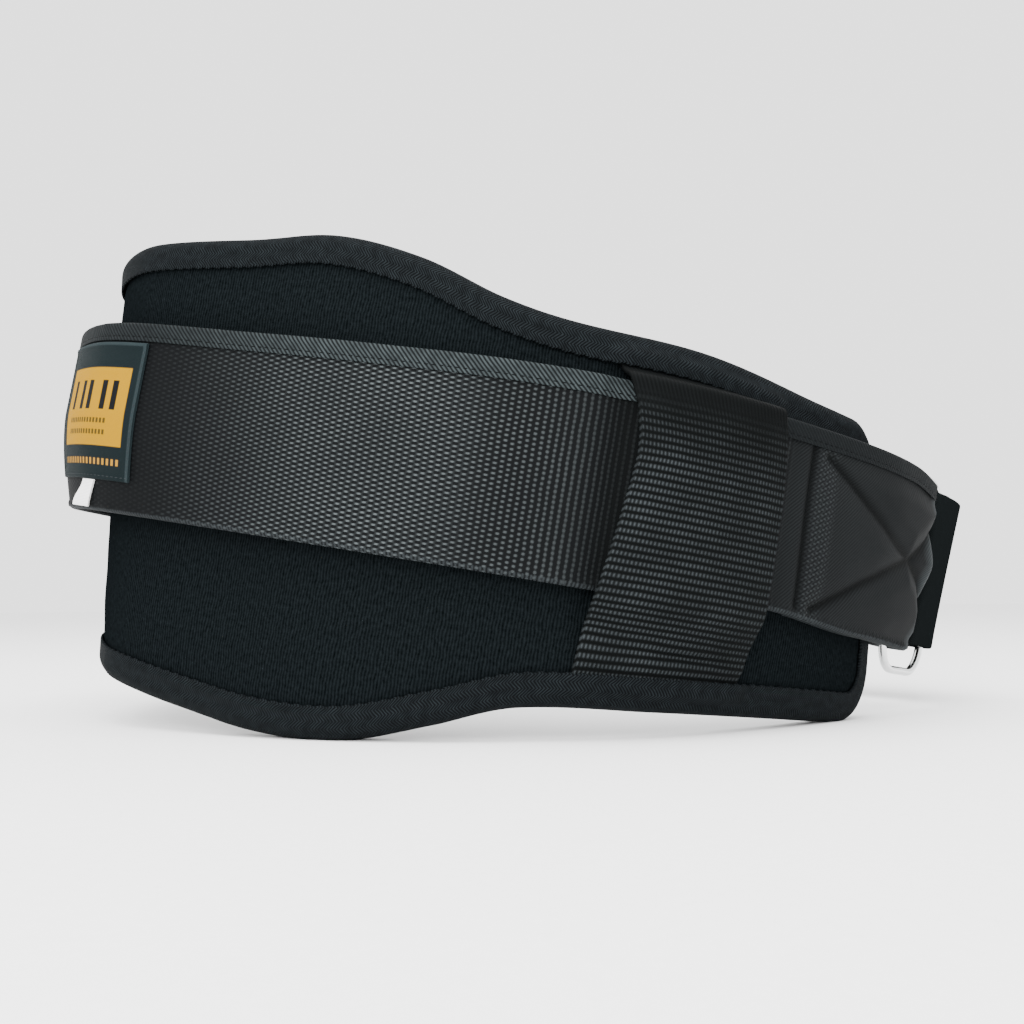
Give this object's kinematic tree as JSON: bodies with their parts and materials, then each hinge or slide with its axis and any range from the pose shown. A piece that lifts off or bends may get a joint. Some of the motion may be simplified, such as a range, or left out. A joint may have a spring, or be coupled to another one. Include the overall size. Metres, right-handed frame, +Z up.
{
  "type": "weightlifting belt",
  "caption": "Contoured foam lifting belt: bound back pad, webbing waist strap under two keeper loops, closed at the front through a steel ring.",
  "frame": {"origin": "on the floor, under the middle of the belt's bounding box", "axes": "+Z up, -Y towards the front closure, +Y towards the back of the waist, -X towards the side with the ring"},
  "size_m": [0.2836, 0.4256, 0.2064],
  "materials": {
    "pad_cover": "matte",
    "binding_tape": "matte",
    "webbing": "matte",
    "edge_tape": "matte",
    "polished_steel": "polished",
    "hook_strap": "matte",
    "woven_label": "satin",
    "tag_cloth": "satin"
  },
  "bodies": {
    "root": {"back_pad": "pad_cover", "pad_binding_upper": "binding_tape", "pad_binding_lower": "binding_tape", "waist_strap": "webbing", "strap_binding": "edge_tape", "keeper_loop_left": "webbing", "keeper_loop_right": "webbing", "buckle_ring": "polished_steel", "closing_strap": "hook_strap", "back_label": "woven_label", "size_tag": "tag_cloth"}
  },
  "joints": []
}
